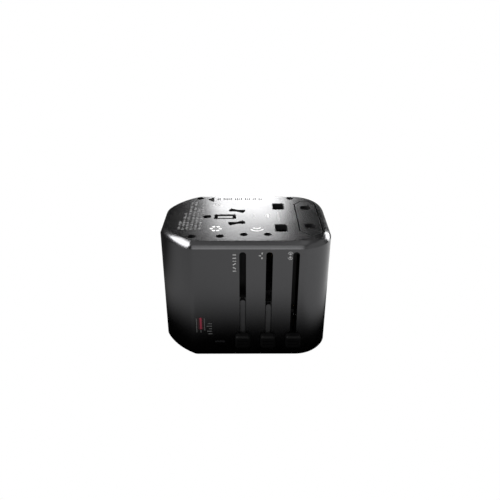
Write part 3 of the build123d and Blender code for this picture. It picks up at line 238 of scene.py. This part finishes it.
# coating: colour, its spread, metallic, roughness, its spread, grain scale, grain depth, specular level
# drawn_metal: colour, roughness, stretch of the scratches, scratch depth
MATERIALS = {
    "housing_grey": metallic_paint("metallic_paint_grey", PAINT),
    "slider_grey": coating("satin_grey", PAINT, 0.12, 0.9, 0.38, 0.05, 5000.0, 0.001 * MM),
    "black_plastic": coating("black_moulding", (0.004, 0.004, 0.0043), 0.25, 0.0, 0.55, 0.08,
                             4200.0, 0.004 * MM, specular=0.35),
    "knob_black": coating("knob_black", (0.002, 0.002, 0.0021), 0.2, 0.0, 0.48, 0.06,
                          5200.0, 0.002 * MM, specular=0.08),
    "pin_nickel": drawn_metal("nickel_plate", (0.40, 0.395, 0.38), 0.24, (1.0, 1.0, 0.08)),
    "contact_brass": drawn_metal("stamped_brass", (0.50, 0.36, 0.16), 0.42, (0.2, 1.0, 1.0), 0.0002 * MM),
    "spring_steel": drawn_metal("spring_wire", (0.62, 0.62, 0.62), 0.25, (0.1, 1.0, 1.0)),
    "screw_black": drawn_metal("black_oxide", (0.05, 0.05, 0.052), 0.35, (1.0, 1.0, 0.5)),
    "port_steel": drawn_metal("plated_sheet", (0.68, 0.68, 0.67), 0.26, (0.1, 1.0, 1.0)),
    "board_green": coating("solder_mask", (0.015, 0.12, 0.05), 0.2, 0.0, 0.35, 0.05, 2500.0, 0.003 * MM),
    "port_tongue_white": coating("tongue_white", (0.78, 0.78, 0.75), 0.05, 0.0, 0.45, 0.05,
                                 3000.0, 0.002 * MM),
    "transformer_core": coating("ferrite", (0.05, 0.045, 0.04), 0.25, 0.0, 0.6, 0.1, 2600.0, 0.005 * MM),
    "capacitor_sleeve": coating("shrink_sleeve", (0.01, 0.015, 0.05), 0.2, 0.0, 0.3, 0.05,
                                1800.0, 0.002 * MM),
    "chip_black": coating("epoxy", (0.012, 0.012, 0.012), 0.2, 0.0, 0.5, 0.08, 4000.0, 0.004 * MM),
    "lens_clear": coating("smoked_lens", (0.012, 0.012, 0.013), 0.15, 0.0, 0.28, 0.05, 3500.0, 0.002 * MM),
    "fuse_ceramic": coating("glazed_ceramic", (0.80, 0.78, 0.73), 0.05, 0.0, 0.25, 0.05, 900.0, 0.001 * MM),
}
# pieces with a finish of their own in place of their slot's
SPECIAL = {
    "uk_earth_pin": coating("earth_pin_plastic", (0.006, 0.006, 0.0063), 0.2, 0.0, 0.2, 0.04,
                            2600.0, 0.001 * MM),
    # the block's chamfers and sides stay bare black: a dark outline of painted shade at the gap round its top
    "eu_plug_block": metallic_paint("painted_block_face", PAINT, painted_end=1, least_normal=FLAT_ONLY_SHADE_OUTLINE),
    "plug_face_plate": metallic_paint("painted_plug_face", PAINT, painted_end=1),
    "socket_base": metallic_paint("painted_socket_face", PAINT, painted_end=-1),
}
for subpart in frame["record"]["subparts"]:
    node = NODES[subpart["node"]]
    node.data.materials.clear()
    node.data.materials.append(SPECIAL.get(subpart["node"], MATERIALS[subpart["material_slot"]]))


# ---------------------------------------------------------------- printed marks
INK_ROUGH_SPREAD, INK_GRAIN, INK_GRAIN_DEPTH = 0.06, 6000.0, 0.001 * MM
INK_RISE = 0.02 * MM            # the ink stands this far above its plane
MERGE_DISTANCE = 1e-7           # corners nearer than this are one
MATT_SPECULAR = 0.1             # dark inks that stay dark beside a bright reflection
LIGHT_SLOT, DARK_SLOT = "port_tongue_white", "knob_black"


def ink(name, colour, spread=0.1, rough=0.6, specular=0.5):
    return coating(name, colour, spread, 0.0, rough, INK_ROUGH_SPREAD, INK_GRAIN, INK_GRAIN_DEPTH, specular)


INK_WHITE = ink("print_white", (0.92, 0.92, 0.91), spread=0.06)
INK_GREY = ink("print_grey", (0.23, 0.23, 0.23))
INK_PALE = ink("print_pale", (0.42, 0.42, 0.42), spread=0.08)
INK_DIM = ink("print_dim", (0.10, 0.10, 0.10), specular=MATT_SPECULAR)
INK_BLACK = ink("print_black", (0.004, 0.004, 0.004), specular=MATT_SPECULAR)
INK_DARK_RED = ink("print_dark_red", (0.022, 0.001, 0.003))
# bright red for the middle of the red bar: a painted highlight on it
INK_RED_HIGHLIGHT = ink("print_red_highlight", (0.26, 0.022, 0.045), rough=0.5)


class Print:
    """Flat marks on one plane of the housing, in millimetres; the plane is its origin, right and up."""

    def __init__(self, name, material, slot, plane):
        self.name = name
        self.material = material
        self.slot = slot
        self.origin, self.right, self.up = (Vector(v) for v in plane)
        self.out = self.right.cross(self.up)
        self.mesh = bmesh.new()

    def polygon(self, points):
        """A flat mark with the given corners, anticlockwise, with its thin side walls."""
        top = []
        low = []
        for x, y in points:
            place = self.origin + self.right * x * MM + self.up * y * MM
            top.append(self.mesh.verts.new(place + self.out * INK_RISE))
            low.append(self.mesh.verts.new(place))
        self.mesh.faces.new(top)
        self.mesh.faces.new(list(reversed(low)))
        for i in range(len(points)):
            j = (i + 1) % len(points)
            self.mesh.faces.new((low[i], low[j], top[j], top[i]))

    def bar(self, x, y, wide, high, turn=0.0):
        c, s = math.cos(math.radians(turn)), math.sin(math.radians(turn))
        corners = ((-wide / 2, -high / 2), (wide / 2, -high / 2), (wide / 2, high / 2), (-wide / 2, high / 2))
        self.polygon([(x + px * c - py * s, y + px * s + py * c) for px, py in corners])

    def disc(self, x, y, radius, sides=24):
        steps = [2 * math.pi * i / sides for i in range(sides)]
        self.polygon([(x + radius * math.cos(a), y + radius * math.sin(a)) for a in steps])

    def arc(self, x, y, radius, width, start, sweep, sides=12):
        """Part of a ring, made of short quads."""
        inner, outer = radius - width / 2, radius + width / 2
        for i in range(sides):
            a = math.radians(start + sweep * i / sides)
            b = math.radians(start + sweep * (i + 1) / sides)
            corners = ((inner, a), (outer, a), (outer, b), (inner, b))
            self.polygon([(x + r * math.cos(t), y + r * math.sin(t)) for r, t in corners])

    def finish(self):
        data = bpy.data.meshes.new(self.name)
        bmesh.ops.remove_doubles(self.mesh, verts=self.mesh.verts, dist=MERGE_DISTANCE)
        self.mesh.to_mesh(data)
        self.mesh.free()
        piece = bpy.data.objects.new(self.name, data)
        bpy.context.scene.collection.objects.link(piece)
        data.materials.append(self.material)
        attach(piece, "housing")


TICK_PITCH, TICK_TALLEST, TICK_SHIFT = 0.52, 1.1, 0.18
TICK_HEIGHTS = (0.35, 1.0, 0.6, 0.8, 0.45)      # parts of the tallest tick
TICK_WIDTHS = (0.2, 0.3, 0.16, 0.26, 0.2)
WORD_GAPS = (0.8, 1.5)          # in pitches


def micro_lines(mark, x, y_from, y_to, seed):
    """One column of unreadable fine print running along Y: groups of small uneven ticks."""
    y = y_from
    count = seed
    while y < y_to:
        for i in range(2 + (count * 7 + seed) % 6):
            step = (i * 3 + count) % len(TICK_HEIGHTS)
            shift = TICK_SHIFT * ((i * 2 + count) % 3 - 1)
            if y < y_to:
                mark.bar(x + shift, y, TICK_TALLEST * TICK_HEIGHTS[step], TICK_WIDTHS[step])
            y += TICK_PITCH
        y += TICK_PITCH * WORD_GAPS[count % 2]
        count += 1


PLUG_FACE = ((0, 0, FACE_Z), (1, 0, 0), (0, 1, 0))
FRONT_FACE = ((0, FRONT_Y, 0), (1, 0, 0), (0, 0, 1))

# X, first Y and last Y of each column of fine print
PRINT_COLUMNS = ((-25.9, -12.6, -4.4), (-24.4, -12.6, 3.8), (-22.8, -12.6, 15.6), (-21.1, -12.6, 16.4),
                 (-19.5, -12.6, 9.4), (-17.8, -12.6, 13.4))
fine_print = Print("fine_print", INK_GREY, LIGHT_SLOT, PLUG_FACE)
for seed, column in enumerate(PRINT_COLUMNS):
    micro_lines(fine_print, *column, seed)
fine_print.finish()

RING_X, RING_Y, RING_DOTS = -11.5, -11.9, 6
RING_HALF_X, RING_HALF_Y, RING_DOT_R, RING_DOT_SIDES = 1.75, 2.0, 0.62, 16
BOWL_X = 4.5
GLINT_MARK_X, GLINT_MARK_Y = 9.3, 1.0
symbols = Print("face_symbols", INK_WHITE, LIGHT_SLOT, PLUG_FACE)
for i in range(RING_DOTS):
    angle = 2 * math.pi * i / RING_DOTS
    dot_x = RING_X + RING_HALF_X * math.cos(angle)
    dot_y = RING_Y + RING_HALF_Y * math.sin(angle)
    symbols.disc(dot_x, dot_y, RING_DOT_R, RING_DOT_SIDES)
# a bowl with a smaller one in it
symbols.arc(BOWL_X, -11.6, 2.45, 0.5, 200, 140, 20)
symbols.arc(BOWL_X, -10.2, 1.6, 0.5, 210, 120)
# a white bar: a painted glint on a small pip
symbols.bar(GLINT_MARK_X, GLINT_MARK_Y, 0.7, 3.2)
symbols.finish()

faint = Print("faint_symbols", INK_PALE, LIGHT_SLOT, PLUG_FACE)
faint.arc(-12.4, 12.7, 1.3, 0.3, 0, 360, 24)
faint.bar(3.55, 0.2, 0.25, 4.4)
# a pale ring round the glint: its painted halo
faint.arc(GLINT_MARK_X, GLINT_MARK_Y, 1.05, 0.25, 0, 360, 24)
faint.bar(13.6, 0.2, 0.45, 9.2)
faint.finish()

arrow = Print("dark_marks", INK_BLACK, DARK_SLOT, PLUG_FACE)
arrow.polygon([(-16.6, 19.3), (-13.7, 16.2), (-13.7, 22.0)])
arrow.finish()

BACK_ROW_LEFT, BACK_ROW_RIGHT, BACK_ROW_Y = -12.0, 7.4, 19.7
BACK_ROW_PITCH, BACK_ROW_SPACE = 0.85, 0.9
BACK_ROW_WIDE, BACK_ROW_SHORT, BACK_ROW_TALL = 0.42, 1.9, 2.6
back_row = Print("back_row_print", INK_BLACK, DARK_SLOT, PLUG_FACE)
x = BACK_ROW_LEFT
word = 0
while x < BACK_ROW_RIGHT:
    for i in range(2 + word * 3 % 4):
        if x < BACK_ROW_RIGHT:
            back_row.bar(x, BACK_ROW_Y, BACK_ROW_WIDE, BACK_ROW_TALL if (i + word) % 2 else BACK_ROW_SHORT)
        x += BACK_ROW_PITCH
    x += BACK_ROW_SPACE
    word += 1
back_row.finish()

US_LABEL_X, UK_LABEL_X, EU_LABEL_X = -4.1, 6.2, 16.7
US_BAR_WIDE, US_BAR_HIGH = 1.3, 0.42
UK_BAR_LONG, UK_BAR_THICK = 0.75, 0.45
EU_DOT_R, EU_RING_R, EU_RING_LINE = 0.42, 0.85, 0.2
labels = Print("slot_labels", INK_PALE, LIGHT_SLOT, FRONT_FACE)
# American and Australian blades: two level bars, a thin one, two slanted ones and a level one
for bar_z, bar_turn in ((47.3, 0), (45.9, 0), (43.4, 30), (41.7, -30), (40.4, 0)):
    labels.bar(US_LABEL_X, bar_z, US_BAR_WIDE, US_BAR_HIGH, bar_turn)
labels.bar(US_LABEL_X, 44.65, 1.5, 0.22)
# British pins: two upright bars and one across
for bar_z in (47.9, 45.9):
    labels.bar(UK_LABEL_X, bar_z, UK_BAR_THICK, UK_BAR_LONG)
labels.bar(UK_LABEL_X - 0.8, 46.9, UK_BAR_LONG, UK_BAR_THICK)
# European pins: two dots, each with half a ring
for dot_z, ring_start in ((47.6, 0), (46.2, 180)):
    labels.disc(EU_LABEL_X, dot_z, EU_DOT_R)
    labels.arc(EU_LABEL_X, dot_z, EU_RING_R, EU_RING_LINE, ring_start, 180)
labels.finish()

# the small red bar low on the front, with dark red edges and thin grey lines; its brighter red middle is a
# painted highlight
ACCENT_Z, ACCENT_SIDE_HIGH = 16.7, 5.6
ACCENT_LINE_WIDE = 0.3
ROW_RIGHT, ROW_TOP, ROW_STEP, ROW_HIGH = -13.3, 16.6, 1.2, 0.4
accent = Print("accent_bar_highlight", INK_RED_HIGHLIGHT, DARK_SLOT, FRONT_FACE)
accent.bar(-17.7, ACCENT_Z, 0.75, 5.4)
accent.finish()
accent_sides = Print("accent_sides", INK_DARK_RED, DARK_SLOT, FRONT_FACE)
accent_sides.bar(-18.5, ACCENT_Z, 0.7, ACCENT_SIDE_HIGH)
accent_sides.bar(-16.95, ACCENT_Z, 0.65, ACCENT_SIDE_HIGH)
accent_sides.finish()
accent_lines = Print("accent_lines", INK_DIM, LIGHT_SLOT, FRONT_FACE)
for line_x, line_z, line_high in ((-19.35, 15.8, 6.6), (-17.75, 13.0, 1.3), (-16.2, 16.2, 5.8)):
    accent_lines.bar(line_x, line_z, ACCENT_LINE_WIDE, line_high)
for i, line_wide in enumerate((1.6, 2.1, 1.2, 1.9, 1.5)):
    accent_lines.bar(ROW_RIGHT - line_wide / 2, ROW_TOP - ROW_STEP * i, line_wide, ROW_HIGH)
accent_lines.finish()

# ---------------------------------------------------------------- studio
scene = bpy.context.scene
scene.view_settings.view_transform = "Standard"


def glowing_plane(name, material_name, size, z):
    """A square of white light on the floor; returns the object, its node tree and its emission node."""
    data = bpy.data.meshes.new(name)
    half = size / 2
    corners = [(-half, -half, z), (half, -half, z), (half, half, z), (-half, half, z)]
    data.from_pydata(corners, [], [(0, 1, 2, 3)])
    piece = bpy.data.objects.new(name, data)
    scene.collection.objects.link(piece)
    material = bpy.data.materials.new(material_name)
    material.use_nodes = True
    tree = material.node_tree
    tree.nodes.clear()
    output = tree.nodes.new("ShaderNodeOutputMaterial")
    emission = tree.nodes.new("ShaderNodeEmission")
    emission.inputs["Color"].default_value = (1.0, 1.0, 1.0, 1.0)
    tree.links.new(emission.outputs["Emission"], output.inputs["Surface"])
    data.materials.append(material)
    piece.visible_shadow = False
    return piece, tree, emission


FOOTPRINT_CORNER = 0.016        # corner radius of the dark patches, in metres


def footprint_distance(tree):
    """X, Y and the distance outwards from the edge of the part's footprint."""
    place = coordinate(tree)
    squares = []
    for axis, half in (("X", -LEFT_X), ("Y", -FRONT_Y)):
        outwards = math_node(tree, "ABSOLUTE", place[axis])
        beyond = math_node(tree, "SUBTRACT", outwards, half - FOOTPRINT_CORNER)
        squares.append(math_node(tree, "POWER", math_node(tree, "MAXIMUM", beyond, 0.0), 2.0))
    reach = math_node(tree, "SQRT", math_node(tree, "ADD", *squares))
    return place["X"], place["Y"], math_node(tree, "SUBTRACT", reach, FOOTPRINT_CORNER)


# The camera sees a white floor, black under the part as a painted shadow, and clear from below.
FLOOR_SIZE, FLOOR_Z = 60.0, -0.02 * MM
FLOOR_SHADOW_INSET = 0.008        # the painted shadow ends this far inside the part's outline
floor, floor_tree, floor_light = glowing_plane("floor", "floor_white", FLOOR_SIZE, FLOOR_Z)
floor.visible_glossy = False
floor.visible_diffuse = False


def paint_floor(tree, emission):
    # no emission inside the footprint: a painted shadow under the part
    distance = footprint_distance(tree)[2]
    tree.links.new(math_node(tree, "GREATER_THAN", distance, -FLOOR_SHADOW_INSET), emission.inputs["Strength"])
    geometry = tree.nodes.new("ShaderNodeNewGeometry")
    clear = tree.nodes.new("ShaderNodeBsdfTransparent")
    mix = tree.nodes.new("ShaderNodeMixShader")
    tree.links.new(geometry.outputs["Backfacing"], mix.inputs["Fac"])
    tree.links.new(emission.outputs["Emission"], mix.inputs[1])
    tree.links.new(clear.outputs["BSDF"], mix.inputs[2])
    tree.links.new(mix.outputs["Shader"], tree.nodes["Material Output"].inputs["Surface"])


paint_floor(floor_tree, floor_light)

# The part sees a card in place of the floor, dark near the part and lighter away from it.
CARD_SIZE, CARD_Z = 1.6, -0.01 * MM
CARD_LIGHT = 0.9
CARD_DARK_TO, CARD_LIGHT_FROM = 0.011, 0.062
CARD_LEFT, CARD_RIGHT, CARD_SIDE_REACH = 0.7, 1.15, 0.16    # brightness at the left and right
CARD_LEFT_GAIN, CARD_RIGHT_GAIN = 1.3, 1.45     # how much closer the light comes at each end
LEFT_END_X, RIGHT_END_X = (-0.022, -0.050), (0.034, 0.060)
# darkening behind the left end, and far behind the right end: X range, Y range and strength
LEFT_SHADE = ((0.0, -0.05), (-0.03, 0.04), 0.93)
RIGHT_SHADE = ((0.02, 0.08), (0.08, 0.18), 0.9)
UNDERSIDE_GLOW = 0.9            # glow under the part, seen by its underside only
GLOW_FULL, GLOW_END = -0.008, -0.003    # distances from the footprint's edge
GLOW_REACH = 0.003              # it does not light the openings deeper than this
card, card_tree, card_light = glowing_plane("floor_card", "card_gradient", CARD_SIZE, CARD_Z)
card.visible_camera = False


def shade(tree, x, y, x_range, y_range, strength):
    """1 away from one corner of the card, falling by strength inside it."""
    corner = math_node(tree, "MULTIPLY", smooth(tree, y, *y_range), smooth(tree, x, *x_range))
    return math_node(tree, "SUBTRACT", 1.0, math_node(tree, "MULTIPLY", corner, strength))


def paint_card(tree, emission):
    x, y, distance = footprint_distance(tree)
    right_gain = smooth(tree, x, *RIGHT_END_X, 1.0, CARD_RIGHT_GAIN)
    left_gain = smooth(tree, x, *LEFT_END_X, 1.0, CARD_LEFT_GAIN)
    distance = math_node(tree, "MULTIPLY", distance, math_node(tree, "MULTIPLY", right_gain, left_gain))
    level = remap(tree, distance, CARD_DARK_TO, CARD_LIGHT_FROM, 0.0, CARD_LIGHT, "SMOOTHERSTEP")
    side = smooth(tree, x, -CARD_SIDE_REACH, CARD_SIDE_REACH, CARD_LEFT, CARD_RIGHT)
    for factor in (side, shade(tree, x, y, *LEFT_SHADE), shade(tree, x, y, *RIGHT_SHADE)):
        level = math_node(tree, "MULTIPLY", level, factor)
    under = smooth(tree, distance, GLOW_FULL, GLOW_END, UNDERSIDE_GLOW, 0.0)
    ray_length = tree.nodes.new("ShaderNodeLightPath").outputs["Ray Length"]
    under = math_node(tree, "MULTIPLY", under, math_node(tree, "LESS_THAN", ray_length, GLOW_REACH))
    tree.links.new(math_node(tree, "ADD", level, under), emission.inputs["Strength"])


paint_card(card_tree, card_light)

# The world lights the part dimly but shows as white behind the floor.
WORLD_LIGHT = 0.035
world = bpy.data.worlds.new("studio")
scene.world = world
world.use_nodes = True
background = world.node_tree.nodes["Background"]
background.inputs["Color"].default_value = (1.0, 1.0, 1.0, 1.0)
camera_ray = world.node_tree.nodes.new("ShaderNodeLightPath").outputs["Is Camera Ray"]
world_level = remap(world.node_tree, camera_ray, 0.0, 1.0, WORLD_LIGHT, 1.0)
world.node_tree.links.new(world_level, background.inputs["Strength"])

AIM_HEIGHT = 0.8                # part of the height that the lights face
AIM = Vector((0.0, 0.0, FACE_Z * AIM_HEIGHT))


def softbox(name, azimuth, elevation, distance, wide, high, power):
    """Rectangular soft light that faces the part; azimuth 0 is behind the part and 90 to its right."""
    azimuth, elevation = math.radians(azimuth), math.radians(elevation)
    offset = Vector((math.sin(azimuth) * math.cos(elevation), math.cos(azimuth) * math.cos(elevation),
                     math.sin(elevation)))
    data = bpy.data.lights.new(name, "AREA")
    data.shape = "RECTANGLE"
    data.size = wide
    data.size_y = high
    data.energy = power
    light = bpy.data.objects.new(name, data)
    scene.collection.objects.link(light)
    light.location = AIM + offset * distance
    light.rotation_euler = offset.to_track_quat("Z", "Y").to_euler()


# name, azimuth and elevation in degrees, distance, width and height in metres, power in watts
SOFTBOXES = (
    ("back_panel", 0.35, 18.0, 1.0, 0.168, 0.195, 1.22),
    ("left_panel", -90.0, 40.0, 0.8, 0.62, 0.40, 12.0),
    ("right_panel", 50.0, 12.0, 0.8, 0.36, 0.30, 4.0),
    ("front_panel", 180.0, 29.0, 1.0, 0.60, 0.22, 1.20),
    ("upper_panel", 180.0, 46.0, 1.0, 0.60, 0.38, 1.15),
    ("corner_panel", 112.0, 29.0, 1.0, 1.30, 0.75, 2.2),
    ("right_upper_panel", 95.0, 66.0, 1.0, 0.90, 0.55, 0.6),
    ("top_panel", 180.0, 78.0, 1.0, 0.90, 0.70, 1.2),
)
for softbox_values in SOFTBOXES:
    softbox(*softbox_values)

# ---------------------------------------------------------------- camera
CAMERA_PLACE = Vector((-0.00012, -0.19596, FACE_Z + 0.08358))
CAMERA_PITCH, CAMERA_YAW, CAMERA_ROLL = (math.radians(v) for v in (26.77, -0.61, 0.26))
CAMERA_LENS, CAMERA_SENSOR = 37.44, 36.0
CAMERA_CLIP = 0.005
forward = Vector((-math.sin(CAMERA_YAW) * math.cos(CAMERA_PITCH),
                  math.cos(CAMERA_YAW) * math.cos(CAMERA_PITCH), -math.sin(CAMERA_PITCH)))
level = Vector((math.cos(CAMERA_YAW), math.sin(CAMERA_YAW), 0.0))
upright = level.cross(forward)
right = level * math.cos(CAMERA_ROLL) + upright * math.sin(CAMERA_ROLL)
up = upright * math.cos(CAMERA_ROLL) - level * math.sin(CAMERA_ROLL)
camera_data = bpy.data.cameras.new("camera")
camera_data.lens = CAMERA_LENS
camera_data.sensor_width = CAMERA_SENSOR
camera_data.clip_start = CAMERA_CLIP
camera = bpy.data.objects.new("camera", camera_data)
scene.collection.objects.link(camera)
camera.matrix_world = Matrix.Translation(CAMERA_PLACE) @ Matrix((right, up, -forward)).transposed().to_4x4()
scene.camera = camera
